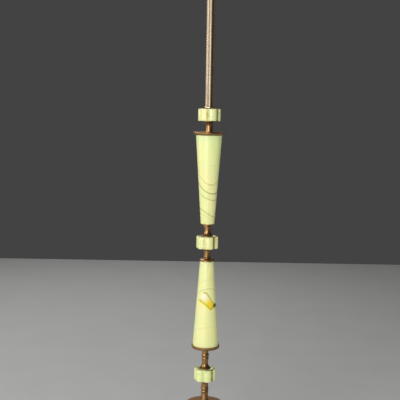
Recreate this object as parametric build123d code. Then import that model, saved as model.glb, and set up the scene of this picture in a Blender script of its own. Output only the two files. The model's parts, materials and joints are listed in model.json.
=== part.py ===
from build123d import *

import os
from collections import namedtuple
from math import cos, pi, sin, sqrt

# Standing lamp. Turned onyx and brass pieces are threaded on one hollow rod, which clamps them between
# a nut under the weighted foot and a plug in the reeded brass tube. The tube carries a screw lamp holder.
#
# Millimetres, +Z up. The origin is on the floor, on the axis of the rod. The front of the lamp is -Y,
# the flex leaves the foot at the back and the switch knob points to +X. Each turned piece is drawn
# about Z with its own bottom at z = 0, and is then lifted to its place.

Spool = namedtuple("Spool", "length end taper waist flare flange beads")
Bead = namedtuple("Bead", "height radius half_width")

# ---------------------------------------------------------------- driving dimensions
# Hollow threaded rod and the bores that it passes through.
ROD_RADIUS = 5.0
ROD_BORE_RADIUS = 3.5
ROD_CLEARANCE = 0.3
ROD_TAIL = 4.0
NUT_ACROSS_FLATS = 16.0
NUT_HEIGHT = 6.0
ROD_WASHER_RADIUS = 14.0
ROD_WASHER_THICKNESS = 2.0

# Fibre washers between brass and onyx.
WASHER_THICKNESS = 0.5
WASHER_INSET = 1.2

# Feet under the weight.
FOOT_COUNT = 4
FOOT_INSET = 14.0
PAD_RADIUS = 11.0
PAD_THICKNESS = 2.0
BUN_RADIUS = 15.0
BUN_BELLY_HEIGHT = 14.0
BUN_NECK_RADIUS = 9.0
FOOT_HEIGHT = 22.0
FOOT_SCREW_RADIUS = 3.0
FOOT_SCREW_GRIP = 8.0
FOOT_SCREW_HEAD_RADIUS = 5.5
FOOT_SCREW_HEAD_HEIGHT = 2.5
SCREW_CLEARANCE = 0.3
SCREW_SLOT_WIDTH = 1.2
SCREW_SLOT_DEPTH = 1.0

# Spun brass shell and the weight under it. The weight ends short of the shell's flat top.
SHELL_RADIUS = 122.0
SHELL_SLOPE = 20.0
SHELL_SHOULDER = 10.0
SHELL_WALL = 1.5
SHELL_BEAD_RADIUS = 2.0
SKIRT_GAP = 8.0
WEIGHT_MARGIN = 2.0
WEIGHT_HEIGHT = 14.5
WEIGHT_ROUND = 2.0

# Rubber grommet where the flex enters the shell.
GROMMET_BORE_RADIUS = 3.5
GROMMET_RADIUS = 5.5
GROMMET_LIP_RADIUS = 7.5
GROMMET_LIP = 2.0
GROMMET_RISE = 1.0

# Onyx slab, brass bell, onyx drum and brass plate of the foot.
SLAB_MARGIN = 8.0
SLAB_HEIGHT = 23.0
SLAB_ROUND = 4.0
BELL_SPREAD = 11.0
BELL_HEIGHT = 20.0
BELL_STEP = 5.0
BELL_SHELF = 3.0
BELL_LIP = 4.0
BELL_LIP_REACH = 1.0
BELL_COVE = 4.0
DRUM_RADIUS = 35.0
DRUM_BULGE = 3.0
DRUM_HEIGHT = 127.0
BASE_PLATE_OVERHANG = 7.7
BASE_PLATE_THICKNESS = 6.0

# Onyx cones, their brass dish, caps and plate.
CONE_ROUND = 1.2
LOWER_CONE_HEIGHT = 204.0
LOWER_CONE_BOTTOM_RADIUS = 30.5
LOWER_CONE_TOP_RADIUS = 16.1
UPPER_CONE_HEIGHT = 204.0
UPPER_CONE_BOTTOM_RADIUS = 15.8
UPPER_CONE_TOP_RADIUS = 29.9
DISH_CLEARANCE = 0.8
DISH_WALL = 1.4
DISH_FLOOR = 2.0
DISH_HEIGHT = 7.5
DISH_ROUND = 4.5
DISH_CORNER = 1.0
COLLET_OVERHANG = 0.7
COLLET_RIM = 3.5
COLLET_HEIGHT = 5.0
THIN_CAP_INSET = 3.1
THIN_CAP_HEIGHT = 3.5
TOP_PLATE_OVERHANG = 7.2
TOP_PLATE_THICKNESS = 7.5
PLATE_SEAT_OVERHANG = 1.4
PLATE_STEP = 1.0
PLATE_STEP_INSET = 14.0
PLATE_COVE = 2.6
PLATE_RIM_ROUND = 1.4

# Onyx rosettes. Each is clamped at its own angle, given for a lobe, from +X towards +Y.
ROSETTE_LOBES = 6
ROSETTE_RADIUS = 25.7
ROSETTE_HEIGHT = 28.0
ROSETTE_ROUND = 1.2
LOBE_RADIUS = 11.2
LOWER_ROSETTE_TURN = -11.5
MIDDLE_ROSETTE_TURN = -17.0
UPPER_ROSETTE_TURN = -7.0

# Brass spools. Heights are measured from the slender end, and the flange is at the other end.
FLANGE_THICKNESS = 1.6
FLANGE_LIP = 0.8
BASE_SPOOL = Spool(length=53.4, end=10.3, taper=22.0, waist=8.0, flare=7.0, flange=11.6,
                   beads=[Bead(height=26.2, radius=8.9, half_width=3.0),
                          Bead(height=33.2, radius=9.0, half_width=3.1)])
LOWER_SPOOL = Spool(length=48.9, end=7.1, taper=12.0, waist=7.2, flare=10.0, flange=13.4,
                    beads=[Bead(height=17.5, radius=8.75, half_width=4.0),
                           Bead(height=25.5, radius=8.4, half_width=3.1)])
COLLET_SPOOL = Spool(length=24.2, end=7.6, taper=0.0, waist=7.6, flare=6.0, flange=11.35,
                     beads=[Bead(height=1.6, radius=9.2, half_width=1.6),
                            Bead(height=5.6, radius=8.2, half_width=2.0)])
MIDDLE_SPOOL = Spool(length=24.5, end=7.5, taper=0.0, waist=7.5, flare=11.0, flange=13.1,
                     beads=[Bead(height=2.9, radius=8.8, half_width=2.7)])
UPPER_SPOOL = Spool(length=23.5, end=8.9, taper=5.0, waist=7.9, flare=10.0, flange=12.6, beads=[])

# Reeded tube, its plugs and its ferrules.
TUBE_REEDS = 6
TUBE_RADIUS = 10.7
REED_RADIUS = 4.65
TUBE_WALL = 1.1
TUBE_LENGTH = 420.0
TUBE_TURN = 31.0
PLUG_LENGTH = 20.0
FERRULE_OVERHANG = 1.6
FERRULE_HEIGHT = 4.0
FERRULE_ROUND = 1.5

# Lamp holder for a 27 mm screw cap. Its brass cup and sleeve follow from the thread shell's bore.
NIPPLE_LENGTH = 30.0
NIPPLE_GAP = 2.0
THREAD_BORE_RADIUS = 13.4
THREAD_SHELL_WALL = 0.5
THREAD_SHELL_HEIGHT = 21.0
LINER_WALL = 2.2
LINER_RISE = 2.0
HOLDER_AIR_GAP = 2.5
HOLDER_WALL = 1.0
CUP_NECK_WALL = 3.5
CUP_NECK_HEIGHT = 7.0
CUP_SHOULDER = 9.0
CUP_HEIGHT = 34.0
SLEEVE_HEIGHT = 34.0
SEAT_OVERHANG = 2.9
SEAT_HEIGHT = 3.0
SLEEVE_GROOVE_WIDTH = 1.2
SLEEVE_GROOVE_DEPTH = 0.4
BLOCK_HEIGHT = 10.0
BLOCK_SPIGOT = 4.0
WELL_DEPTH = 2.6
WELL_MARGIN = 0.4
CONTACT_WIDTH = 6.0
CONTACT_THICKNESS = 0.6
CONTACT_GAP = 1.0
BUTTON_RADIUS = 3.5
BUTTON_HEIGHT = 2.4
TERMINAL_SCREW_RADIUS = 1.5
TERMINAL_HEAD_RADIUS = 2.6
TERMINAL_HEAD_HEIGHT = 1.6
TERMINAL_CLEARANCE = 0.8

# Scalloped ring that clamps a shade on the sleeve.
SHADE_RING_HEIGHT = 7.0
SHADE_RING_RIM = 2.0
SHADE_RING_REACH = 5.1
SHADE_RING_WALL = 3.0
SHADE_RING_CLEARANCE = 0.3
SCALLOP_COUNT = 20
SCALLOP_RADIUS = 2.4
SCALLOP_DEPTH = 1.2

# Turn switch in the side of the cup.
SPINDLE_RADIUS = 2.0
SPINDLE_CLEARANCE = 0.08
SPINDLE_DROP = 11.5
CAM_RADIUS = 4.0
CAM_LENGTH = 6.0
CAM_FLAT = 1.0
BUSH_RADIUS = 3.6
BUSH_REACH = 1.5
BUSH_STANDOFF = 0.4
BUSH_FLANGE_RADIUS = 5.0
BUSH_FLANGE = 1.0
SWITCH_PLAY = 0.5
KNOB_RADIUS = 7.0
KNOB_LENGTH = 9.0
KNOB_SOCKET = 6.0
KNOB_RIBS = 14
KNOB_FLUTE_RADIUS = 0.9
KNOB_ROUND = 0.8

# ---------------------------------------------------------------- sizes that follow
BORE_RADIUS = ROD_RADIUS + ROD_CLEARANCE
WEIGHT_BOTTOM = PAD_THICKNESS + FOOT_HEIGHT
SHELL_TOP = WEIGHT_BOTTOM + WEIGHT_HEIGHT + SHELL_WALL
SHELL_DEPTH = SHELL_TOP - SKIRT_GAP
SHELL_TOP_RADIUS = SHELL_RADIUS - SHELL_SLOPE
WEIGHT_RADIUS = SHELL_TOP_RADIUS - WEIGHT_MARGIN
FOOT_CIRCLE_RADIUS = WEIGHT_RADIUS - FOOT_INSET
GROMMET_DROP = SHELL_DEPTH - 2 * SHELL_BEAD_RADIUS - GROMMET_RISE - GROMMET_LIP_RADIUS
SLAB_RADIUS = SHELL_TOP_RADIUS - SLAB_MARGIN
BELL_RADIUS = DRUM_RADIUS + BELL_SPREAD
BASE_PLATE_SEAT = DRUM_RADIUS + PLATE_SEAT_OVERHANG
BASE_PLATE_RADIUS = DRUM_RADIUS + BASE_PLATE_OVERHANG
THIN_CAP_RADIUS = UPPER_CONE_BOTTOM_RADIUS - THIN_CAP_INSET
TOP_PLATE_SEAT = UPPER_CONE_TOP_RADIUS + PLATE_SEAT_OVERHANG
TOP_PLATE_RADIUS = UPPER_CONE_TOP_RADIUS + TOP_PLATE_OVERHANG
DISH_RADIUS = LOWER_CONE_BOTTOM_RADIUS + DISH_CLEARANCE + DISH_WALL
DISH_FACE = DISH_RADIUS - DISH_WALL - DISH_CORNER
COLLET_RADIUS = LOWER_CONE_TOP_RADIUS + COLLET_OVERHANG
FERRULE_RADIUS = TUBE_RADIUS + FERRULE_OVERHANG
SLEEVE_BORE_RADIUS = THREAD_BORE_RADIUS + THREAD_SHELL_WALL + LINER_WALL + HOLDER_AIR_GAP
HOLDER_RADIUS = SLEEVE_BORE_RADIUS + HOLDER_WALL
CUP_NECK_RADIUS = ROD_RADIUS + CUP_NECK_WALL
TERMINAL_CIRCLE_RADIUS = THREAD_BORE_RADIUS - TERMINAL_CLEARANCE - TERMINAL_HEAD_RADIUS
SHADE_RING_BORE_RADIUS = HOLDER_RADIUS + SHADE_RING_CLEARANCE
BUSH_FACE = HOLDER_RADIUS + BUSH_STANDOFF
KNOB_ROOT = BUSH_FACE + BUSH_FLANGE + SWITCH_PLAY
CAM_FACE = SLEEVE_BORE_RADIUS - BUSH_REACH - SWITCH_PLAY

STANDING = (Align.CENTER, Align.CENTER, Align.MIN)


def groove_radius(radius, lobe_radius, count):
    """Distance from the axis to the groove between two lobes of a lobed outline."""
    centre = radius - lobe_radius
    return centre * cos(pi / count) + sqrt(lobe_radius**2 - (centre * sin(pi / count))**2)


TUBE_BORE_RADIUS = groove_radius(TUBE_RADIUS, REED_RADIUS, TUBE_REEDS) - TUBE_WALL


# ---------------------------------------------------------------- drawing helpers
def disc(radius, height):
    return Cylinder(radius, height, align=STANDING)


def ring(outer, inner, height):
    return disc(outer, height) - disc(inner, height)


def turned(*edges):
    """Solid of revolution about Z of a closed outline of (radius, height) edges."""
    return revolve(Plane.XZ * make_face(Curve() + list(edges)), Axis.Z)


def rounded_ring(outer, inner, height, edge_round):
    """Ring with its two outer edges rounded, as far as its height allows."""
    body = ring(outer, inner, height)
    rims = body.edges().filter_by(GeomType.CIRCLE).filter_by(lambda edge: edge.radius > (outer + inner) / 2)
    return fillet(rims, min(edge_round, 0.45 * height))


def lobed_face(radius, lobe_radius, count, turn):
    """Flat outline of equal round lobes about a solid middle."""
    centre = radius - lobe_radius
    face = Circle(centre)
    for spot in PolarLocations(centre, count, start_angle=turn):
        face += spot * Circle(lobe_radius)
    return face


def flipped(piece, length):
    """The same piece standing on its other end."""
    return Pos(0, 0, length) * Rot(180, 0, 0) * piece


def at_each_foot(piece):
    """Separate copies of a piece, one at each foot."""
    spots = PolarLocations(FOOT_CIRCLE_RADIUS, FOOT_COUNT, start_angle=180 / FOOT_COUNT)
    return [spot * piece for spot in spots]


def at_terminals(piece):
    """Separate copies of a piece, one at each terminal."""
    return [spot * piece for spot in PolarLocations(TERMINAL_CIRCLE_RADIUS, 2, start_angle=90)]


# ---------------------------------------------------------------- onyx
def cone(bottom_radius, top_radius, height):
    body = Cone(bottom_radius, top_radius, height, align=STANDING)
    return fillet(body.edges().filter_by(GeomType.CIRCLE), CONE_ROUND) - disc(BORE_RADIUS, height)


def rosette(turn):
    body = extrude(lobed_face(ROSETTE_RADIUS, LOBE_RADIUS, ROSETTE_LOBES, turn), ROSETTE_HEIGHT)
    ends = body.faces().filter_by(GeomType.PLANE).filter_by(Axis.Z)
    return chamfer(ends.edges(), ROSETTE_ROUND) - disc(BORE_RADIUS, ROSETTE_HEIGHT)


def slab():
    return rounded_ring(SLAB_RADIUS, BORE_RADIUS, SLAB_HEIGHT, SLAB_ROUND)


def drum():
    belly = (DRUM_RADIUS + DRUM_BULGE, DRUM_HEIGHT / 2)
    return turned(
        ThreePointArc((DRUM_RADIUS, 0), belly, (DRUM_RADIUS, DRUM_HEIGHT)),
        Polyline((DRUM_RADIUS, DRUM_HEIGHT), (BORE_RADIUS, DRUM_HEIGHT), (BORE_RADIUS, 0), (DRUM_RADIUS, 0)),
    )


# ---------------------------------------------------------------- brass
def spool(size):
    """Turned spool standing on its slender end, with its flange uppermost."""
    flange_bottom = size.length - FLANGE_THICKNESS
    lip = (size.flange - FLANGE_LIP, flange_bottom)
    edges = [Line((BORE_RADIUS, 0), (size.end, 0))]
    reached = (size.end, 0)
    if size.taper:
        reached = (size.waist, size.taper)
        edges.append(Line((size.end, 0), reached))
    for bead in size.beads:
        start = (size.waist, bead.height - bead.half_width)
        end = (size.waist, bead.height + bead.half_width)
        if start[1] > reached[1]:
            edges.append(Line(reached, start))
        edges.append(ThreePointArc(start, (bead.radius, bead.height), end))
        reached = end
    flare_start = (size.waist, flange_bottom - size.flare)
    edges.append(Line(reached, flare_start))
    edges.append(TangentArc(flare_start, lip, tangent=(0, 1)))
    edges.append(Polyline(lip, (size.flange, flange_bottom + FLANGE_LIP), (size.flange, size.length),
                          (BORE_RADIUS, size.length), (BORE_RADIUS, 0)))
    return turned(*edges)


def rimmed_plate(radius, thickness, seat_radius):
    """Round plate: a cove below, a half-round rim, and a low step round the spool that stands on it."""
    rim_foot = (radius - PLATE_RIM_ROUND, PLATE_COVE)
    rim_top = (radius - PLATE_RIM_ROUND, thickness - PLATE_STEP)
    rim_nose = (radius, (rim_foot[1] + rim_top[1]) / 2)
    step_radius = radius - PLATE_STEP_INSET
    cove_middle = ((seat_radius + rim_foot[0]) / 2 - PLATE_COVE / 5, 0.65 * PLATE_COVE)
    return turned(
        ThreePointArc((seat_radius, 0), cove_middle, rim_foot),
        ThreePointArc(rim_foot, rim_nose, rim_top),
        Polyline(rim_top, (step_radius, rim_top[1]), (step_radius, thickness), (BORE_RADIUS, thickness),
                 (BORE_RADIUS, 0), (seat_radius, 0)),
    )


def dish():
    """Shallow cup that the lower cone stands in."""
    inner = DISH_RADIUS - DISH_WALL
    corner_start = (DISH_RADIUS - DISH_ROUND, 0)
    corner_end = (DISH_RADIUS, DISH_ROUND)
    corner_middle = (DISH_RADIUS - DISH_ROUND * (1 - sin(pi / 4)), DISH_ROUND * (1 - sin(pi / 4)))
    return turned(
        ThreePointArc(corner_start, corner_middle, corner_end),
        Polyline(corner_end, (DISH_RADIUS, DISH_HEIGHT), (inner, DISH_HEIGHT),
                 (inner, DISH_FLOOR + DISH_CORNER), (DISH_FACE, DISH_FLOOR), (BORE_RADIUS, DISH_FLOOR),
                 (BORE_RADIUS, 0), corner_start),
    )


def collet_cap():
    """Cap on the narrow end of the lower cone: a square rim and a low domed crown."""
    rim_corner = (COLLET_RADIUS, COLLET_RIM - COLLET_OVERHANG)
    rim_edge = (COLLET_RADIUS - COLLET_OVERHANG, COLLET_RIM)
    crown = COLLET_SPOOL.beads[0].radius + 1.0
    crown_edge = (crown, COLLET_HEIGHT)
    dome_middle = ((rim_edge[0] + crown) / 2, COLLET_RIM + 0.7 * (COLLET_HEIGHT - COLLET_RIM))
    return turned(
        Polyline((BORE_RADIUS, 0), (COLLET_RADIUS, 0), rim_corner, rim_edge),
        ThreePointArc(rim_edge, dome_middle, crown_edge),
        Polyline(crown_edge, (BORE_RADIUS, COLLET_HEIGHT), (BORE_RADIUS, 0)),
    )


def bell():
    """Stepped bell between the slab and the drum, coved up to a square lip."""
    cove_foot = (BELL_RADIUS - BELL_SHELF, BELL_STEP)
    lip_radius = BASE_PLATE_SEAT
    cove_top = (lip_radius - BELL_LIP_REACH, BELL_HEIGHT - BELL_LIP)
    cove_middle = ((cove_foot[0] + cove_top[0]) / 2 - BELL_COVE, (cove_foot[1] + cove_top[1]) / 2)
    return turned(
        Polyline((BORE_RADIUS, 0), (BELL_RADIUS, 0), (BELL_RADIUS, BELL_STEP), cove_foot),
        ThreePointArc(cove_foot, cove_middle, cove_top),
        Polyline(cove_top, (lip_radius, cove_top[1]), (lip_radius, BELL_HEIGHT), (BORE_RADIUS, BELL_HEIGHT),
                 (BORE_RADIUS, 0)),
    )


def thin_cap():
    return rounded_ring(THIN_CAP_RADIUS, BORE_RADIUS, THIN_CAP_HEIGHT, FERRULE_ROUND)


def ferrule(bore_radius):
    return rounded_ring(FERRULE_RADIUS, bore_radius, FERRULE_HEIGHT, FERRULE_ROUND)


def reeded_tube():
    outline = lobed_face(TUBE_RADIUS, REED_RADIUS, TUBE_REEDS, TUBE_TURN)
    return extrude(outline - Circle(TUBE_BORE_RADIUS), TUBE_LENGTH)


# ---------------------------------------------------------------- foot
def bun_foot():
    """Turned foot with a through hole, counterbored from below for its screw."""
    hole = FOOT_SCREW_RADIUS + SCREW_CLEARANCE
    counterbore = FOOT_SCREW_HEAD_RADIUS + SCREW_CLEARANCE
    belly = (BUN_RADIUS, BUN_BELLY_HEIGHT / 2)
    neck_foot = (BUN_NECK_RADIUS, BUN_BELLY_HEIGHT)
    return turned(
        ThreePointArc((PAD_RADIUS, 0), belly, neck_foot),
        Polyline(neck_foot, (BUN_NECK_RADIUS, FOOT_HEIGHT), (hole, FOOT_HEIGHT),
                 (hole, FOOT_SCREW_HEAD_HEIGHT), (counterbore, FOOT_SCREW_HEAD_HEIGHT), (counterbore, 0),
                 (PAD_RADIUS, 0)),
    )


def foot_screw():
    """Slotted screw, head down in the counterbore and thread up in the weight."""
    shank_length = FOOT_HEIGHT - FOOT_SCREW_HEAD_HEIGHT + FOOT_SCREW_GRIP
    slot = Box(3 * FOOT_SCREW_HEAD_RADIUS, SCREW_SLOT_WIDTH, SCREW_SLOT_DEPTH, align=STANDING)
    head = disc(FOOT_SCREW_HEAD_RADIUS, FOOT_SCREW_HEAD_HEIGHT) - slot
    return head + Pos(0, 0, FOOT_SCREW_HEAD_HEIGHT) * disc(FOOT_SCREW_RADIUS, shank_length)


def weight():
    body = rounded_ring(WEIGHT_RADIUS, BORE_RADIUS, WEIGHT_HEIGHT, WEIGHT_ROUND)
    for hole in at_each_foot(disc(FOOT_SCREW_RADIUS, FOOT_SCREW_GRIP)):
        body -= hole
    return body


def shell_side(inset, drop):
    """Shoulder and skirt of the spun shell, as one curve from its top edge down."""
    corner = (SHELL_RADIUS - inset, -SHELL_SHOULDER - drop)
    top = (SHELL_TOP_RADIUS - inset, -drop)
    bulge = 0.3 * SHELL_SHOULDER
    middle = ((corner[0] + top[0]) / 2 + bulge, (corner[1] + top[1]) / 2 + bulge)
    return [ThreePointArc(top, middle, corner), Line(corner, (corner[0], -SHELL_DEPTH))]


def grommet_hole():
    return Pos(0, SHELL_RADIUS, -GROMMET_DROP) * Rot(90, 0, 0) * Cylinder(GROMMET_RADIUS, 8 * GROMMET_LIP)


def base_shell():
    """Spun shell over the weight, drawn with its flat top at z = 0."""
    section = shell_side(0, 0) + shell_side(SHELL_WALL, SHELL_WALL) + [
        Polyline((SHELL_TOP_RADIUS, 0), (BORE_RADIUS, 0), (BORE_RADIUS, -SHELL_WALL),
                 (SHELL_TOP_RADIUS - SHELL_WALL, -SHELL_WALL)),
        Line((SHELL_RADIUS, -SHELL_DEPTH), (SHELL_RADIUS - SHELL_WALL, -SHELL_DEPTH)),
    ]
    bead = Torus(SHELL_RADIUS, SHELL_BEAD_RADIUS) - Cylinder(SHELL_RADIUS - SHELL_WALL, 4 * SHELL_BEAD_RADIUS)
    return turned(*section) + Pos(0, 0, SHELL_BEAD_RADIUS - SHELL_DEPTH) * bead - grommet_hole()


def grommet():
    """Rubber bush with the shell's wall in its groove, in the shell's own frame."""
    length = SHELL_WALL + 2 * GROMMET_LIP
    start = Pos(0, SHELL_RADIUS - SHELL_WALL - GROMMET_LIP, -GROMMET_DROP) * Rot(-90, 0, 0)
    body = start * ring(GROMMET_LIP_RADIUS, GROMMET_BORE_RADIUS, length)
    wall = Cylinder(SHELL_RADIUS, 2 * SHELL_DEPTH) - Cylinder(SHELL_RADIUS - SHELL_WALL, 2 * SHELL_DEPTH)
    return body - (wall - grommet_hole())


def hex_nut():
    blank = extrude(RegularPolygon(NUT_ACROSS_FLATS / 2, 6, major_radius=False), NUT_HEIGHT)
    return blank - disc(ROD_RADIUS, NUT_HEIGHT)


# ---------------------------------------------------------------- lamp holder
def cup_side(inset):
    """Neck, shoulder and wall of the holder's cup, as one curve from the bottom up."""
    shoulder_foot = (CUP_NECK_RADIUS, CUP_NECK_HEIGHT + inset)
    shoulder_top = (HOLDER_RADIUS - inset, CUP_NECK_HEIGHT + CUP_SHOULDER)
    across = shoulder_top[0] - shoulder_foot[0]
    up = shoulder_top[1] - shoulder_foot[1]
    middle = (shoulder_foot[0] + across * sin(pi / 4), shoulder_top[1] - up * cos(pi / 4))
    wall = Line(shoulder_top, (shoulder_top[0], CUP_HEIGHT))
    return [ThreePointArc(shoulder_foot, middle, shoulder_top), wall]


def sideways(piece):
    """A piece drawn along +Z from the cup's axis, laid along +X at the switch's height."""
    return Pos(0, 0, CUP_HEIGHT - SPINDLE_DROP) * Rot(0, 90, 0) * piece


def holder_cup():
    """Lower cup of the holder, threaded on the nipple, with a side hole for the switch bush."""
    floor = CUP_NECK_HEIGHT + HOLDER_WALL
    section = cup_side(0) + cup_side(HOLDER_WALL) + [
        Polyline((CUP_NECK_RADIUS, CUP_NECK_HEIGHT), (CUP_NECK_RADIUS, 0), (ROD_RADIUS, 0),
                 (ROD_RADIUS, floor), (CUP_NECK_RADIUS, floor)),
        Line((HOLDER_RADIUS, CUP_HEIGHT), (SLEEVE_BORE_RADIUS, CUP_HEIGHT)),
    ]
    return turned(*section) - sideways(disc(BUSH_RADIUS, 2 * HOLDER_RADIUS))


def holder_sleeve():
    """Outer sleeve: the shade's seat at its foot, and a groove that shows above the ring when it is down."""
    seat = ring(HOLDER_RADIUS + SEAT_OVERHANG, SLEEVE_BORE_RADIUS, SEAT_HEIGHT)
    groove = ring(HOLDER_RADIUS, HOLDER_RADIUS - SLEEVE_GROOVE_DEPTH, SLEEVE_GROOVE_WIDTH)
    wall = ring(HOLDER_RADIUS, SLEEVE_BORE_RADIUS, SLEEVE_HEIGHT)
    return seat + wall - Pos(0, 0, SEAT_HEIGHT + SHADE_RING_HEIGHT) * groove


# The next five are drawn with the block's top face at z = 0. The contacts lie in the well below it.
def contact_strip(inner_end, outer_end, side):
    """Flat brass strip from the middle to one terminal; side is +1 for +Y and -1 for -Y."""
    length = outer_end - inner_end
    strip = Box(CONTACT_WIDTH, length, CONTACT_THICKNESS, align=STANDING)
    hole = Pos(0, side * TERMINAL_CIRCLE_RADIUS, 0) * disc(TERMINAL_SCREW_RADIUS, CONTACT_THICKNESS)
    return Pos(0, 0, -WELL_DEPTH) * (Pos(0, side * (inner_end + length / 2), 0) * strip - hole)


def thread_shell():
    """Thread shell for the lamp cap. A flat leg goes down to the foot that a terminal screw holds."""
    outer = THREAD_BORE_RADIUS + THREAD_SHELL_WALL
    foot_start = TERMINAL_CIRCLE_RADIUS - CONTACT_WIDTH / 2
    leg = Box(CONTACT_WIDTH, THREAD_SHELL_WALL, WELL_DEPTH, align=STANDING)
    wall = ring(outer, THREAD_BORE_RADIUS, THREAD_SHELL_HEIGHT)
    wall += Pos(0, outer - THREAD_SHELL_WALL / 2, -WELL_DEPTH) * leg
    return wall + contact_strip(foot_start, outer, side=1)


def contact_block():
    """Porcelain block across the joint of cup and sleeve, with a well for the contacts."""
    height = BLOCK_HEIGHT + BLOCK_SPIGOT
    body = Pos(0, 0, -height) * disc(SLEEVE_BORE_RADIUS, height)
    body -= Pos(0, 0, -WELL_DEPTH) * disc(THREAD_BORE_RADIUS - WELL_MARGIN, WELL_DEPTH)
    for hole in at_terminals(disc(TERMINAL_SCREW_RADIUS, height)):
        body -= Pos(0, 0, -height) * hole
    return body - thread_shell()


def centre_contact():
    """Strip from the other terminal to a round button under the lamp cap's tip."""
    button = disc(BUTTON_RADIUS, BUTTON_HEIGHT)
    button = fillet(button.edges().sort_by(Axis.Z)[-1], CONTACT_THICKNESS)
    strip = contact_strip(0, THREAD_BORE_RADIUS - CONTACT_GAP, side=-1)
    return strip + Pos(0, 0, -WELL_DEPTH) * button


def terminal_screw():
    """Slotted screw down through a contact and the block."""
    seat = CONTACT_THICKNESS - WELL_DEPTH
    shank = Pos(0, 0, -BLOCK_HEIGHT) * disc(TERMINAL_SCREW_RADIUS, BLOCK_HEIGHT + seat)
    slot = Box(3 * TERMINAL_HEAD_RADIUS, SCREW_SLOT_WIDTH / 2, TERMINAL_HEAD_HEIGHT, align=STANDING)
    head = disc(TERMINAL_HEAD_RADIUS, TERMINAL_HEAD_HEIGHT) - Pos(0, 0, TERMINAL_HEAD_HEIGHT / 2) * slot
    return shank + Pos(0, 0, seat) * head


def liner():
    """Insulating tube round the thread shell."""
    inner = THREAD_BORE_RADIUS + THREAD_SHELL_WALL
    return ring(inner + LINER_WALL, inner, THREAD_SHELL_HEIGHT + LINER_RISE)


def shade_ring():
    """Collar with a scalloped rim round its top, free to leave the sleeve upwards."""
    collar_radius = SHADE_RING_BORE_RADIUS + SHADE_RING_WALL
    rim_radius = collar_radius + SHADE_RING_REACH
    rim = disc(rim_radius, SHADE_RING_RIM)
    scallop_circle = rim_radius + SCALLOP_RADIUS - SCALLOP_DEPTH
    for spot in PolarLocations(scallop_circle, SCALLOP_COUNT):
        rim -= spot * disc(SCALLOP_RADIUS, SHADE_RING_RIM)
    body = disc(collar_radius, SHADE_RING_HEIGHT) + Pos(0, 0, SHADE_RING_HEIGHT - SHADE_RING_RIM) * rim
    return body - disc(SHADE_RING_BORE_RADIUS, SHADE_RING_HEIGHT)


def switch_bush():
    """Bush pressed in the cup's side, its flange outside."""
    bore = SPINDLE_RADIUS + SPINDLE_CLEARANCE
    start = SLEEVE_BORE_RADIUS - BUSH_REACH
    barrel = Pos(0, 0, start) * ring(BUSH_RADIUS, bore, BUSH_FACE - start)
    return barrel + Pos(0, 0, BUSH_FACE) * ring(BUSH_FLANGE_RADIUS, bore, BUSH_FLANGE)


def switch_spindle():
    """Spindle with a flatted cam at its inner end."""
    cam_start = CAM_FACE - CAM_LENGTH
    flat = Pos(CAM_RADIUS, 0, 0) * Box(2 * CAM_FLAT, 2 * CAM_RADIUS, CAM_LENGTH, align=STANDING)
    cam = Pos(0, 0, cam_start) * (disc(CAM_RADIUS, CAM_LENGTH) - flat)
    shaft_length = KNOB_ROOT + KNOB_SOCKET - cam_start
    return cam + Pos(0, 0, cam_start) * disc(SPINDLE_RADIUS, shaft_length)


def switch_knob():
    """Fluted turning knob, pressed on the spindle's outer end."""
    body = disc(KNOB_RADIUS, KNOB_LENGTH)
    body = fillet(body.edges().filter_by(GeomType.CIRCLE).sort_by(Axis.Z)[-1], KNOB_ROUND)
    for spot in PolarLocations(KNOB_RADIUS, KNOB_RIBS):
        body -= spot * disc(KNOB_FLUTE_RADIUS, KNOB_LENGTH)
    return Pos(0, 0, KNOB_ROOT) * (body - disc(SPINDLE_RADIUS, KNOB_SOCKET))


# ---------------------------------------------------------------- the stack on the rod, from the foot up
# face is the radius that a washer under or over the piece may fill, at its bottom and at its top.
Piece = namedtuple("Piece", "name solid height bottom_face top_face onyx")

TUBE_FACE = groove_radius(TUBE_RADIUS, REED_RADIUS, TUBE_REEDS)
ROSETTE_FACE = groove_radius(ROSETTE_RADIUS, LOBE_RADIUS, ROSETTE_LOBES) - ROSETTE_ROUND


def standing_spool(name, size):
    return Piece(name, spool(size), size.length, size.end, size.flange, False)


def hanging_spool(name, size):
    return Piece(name, flipped(spool(size), size.length), size.length, size.flange, size.end, False)


def rosette_piece(name, turn):
    return Piece(name, rosette(turn), ROSETTE_HEIGHT, ROSETTE_FACE, ROSETTE_FACE, True)


def cone_piece(name, bottom_radius, top_radius, height):
    solid = cone(bottom_radius, top_radius, height)
    return Piece(name, solid, height, bottom_radius - CONE_ROUND, top_radius - CONE_ROUND, True)


def plate_piece(name, radius, thickness, seat_radius):
    solid = rimmed_plate(radius, thickness, seat_radius)
    return Piece(name, solid, thickness, seat_radius, radius - PLATE_STEP_INSET, False)


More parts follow.
